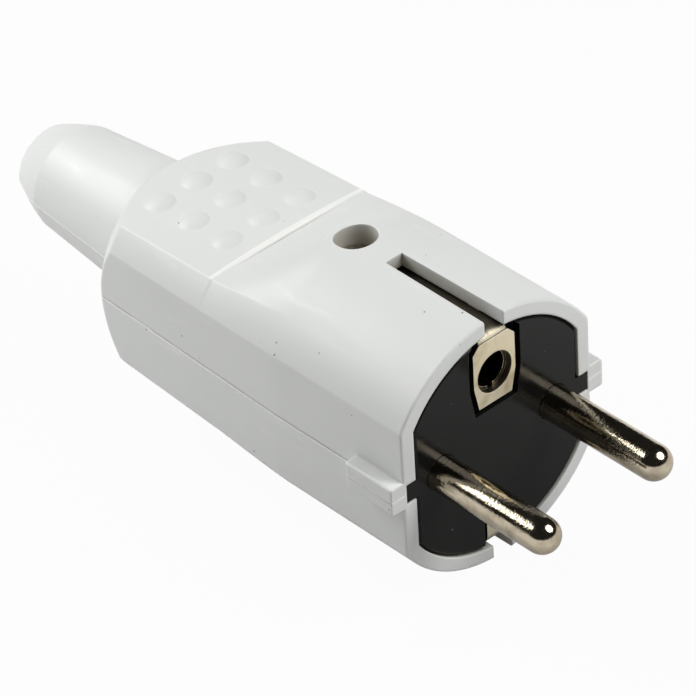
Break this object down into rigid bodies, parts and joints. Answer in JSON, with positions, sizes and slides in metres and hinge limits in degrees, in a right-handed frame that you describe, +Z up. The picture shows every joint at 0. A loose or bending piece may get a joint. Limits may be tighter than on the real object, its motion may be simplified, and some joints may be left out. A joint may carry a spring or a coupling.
{
  "type": "rewirable mains plug",
  "caption": "Rewirable type F mains plug: round contact pins in a dark carrier, white moulded half shells with grip pads and earth slots, and a tapered cable sleeve.",
  "frame": {"origin": "midway between the contact pins on the engagement face", "axes": "+X from the live to the neutral pin, +Y along the plug towards its cable sleeve, +Z up through the earth hole"},
  "size_m": [0.036, 0.1039, 0.0368],
  "materials": {
    "housing": "satin white moulding",
    "carrier": "glossy black moulding",
    "pins": "nickel plated",
    "earth_metal": "nickel plated strip",
    "screws": "zinc plated",
    "clamp": "satin white moulding"
  },
  "bodies": {
    "root": {"upper_shell": "housing", "lower_shell": "housing", "contact_carrier": "carrier", "live_pin": "pins", "neutral_pin": "pins", "earth_strap": "earth_metal", "earth_socket_tube": "earth_metal", "live_terminal_screw": "screws", "neutral_terminal_screw": "screws", "earth_terminal_screw": "screws", "earth_terminal_washer": "screws", "housing_screw": "screws", "housing_nut": "screws", "cord_clamp_bar": "clamp", "left_clamp_screw": "screws", "right_clamp_screw": "screws"}
  },
  "joints": []
}
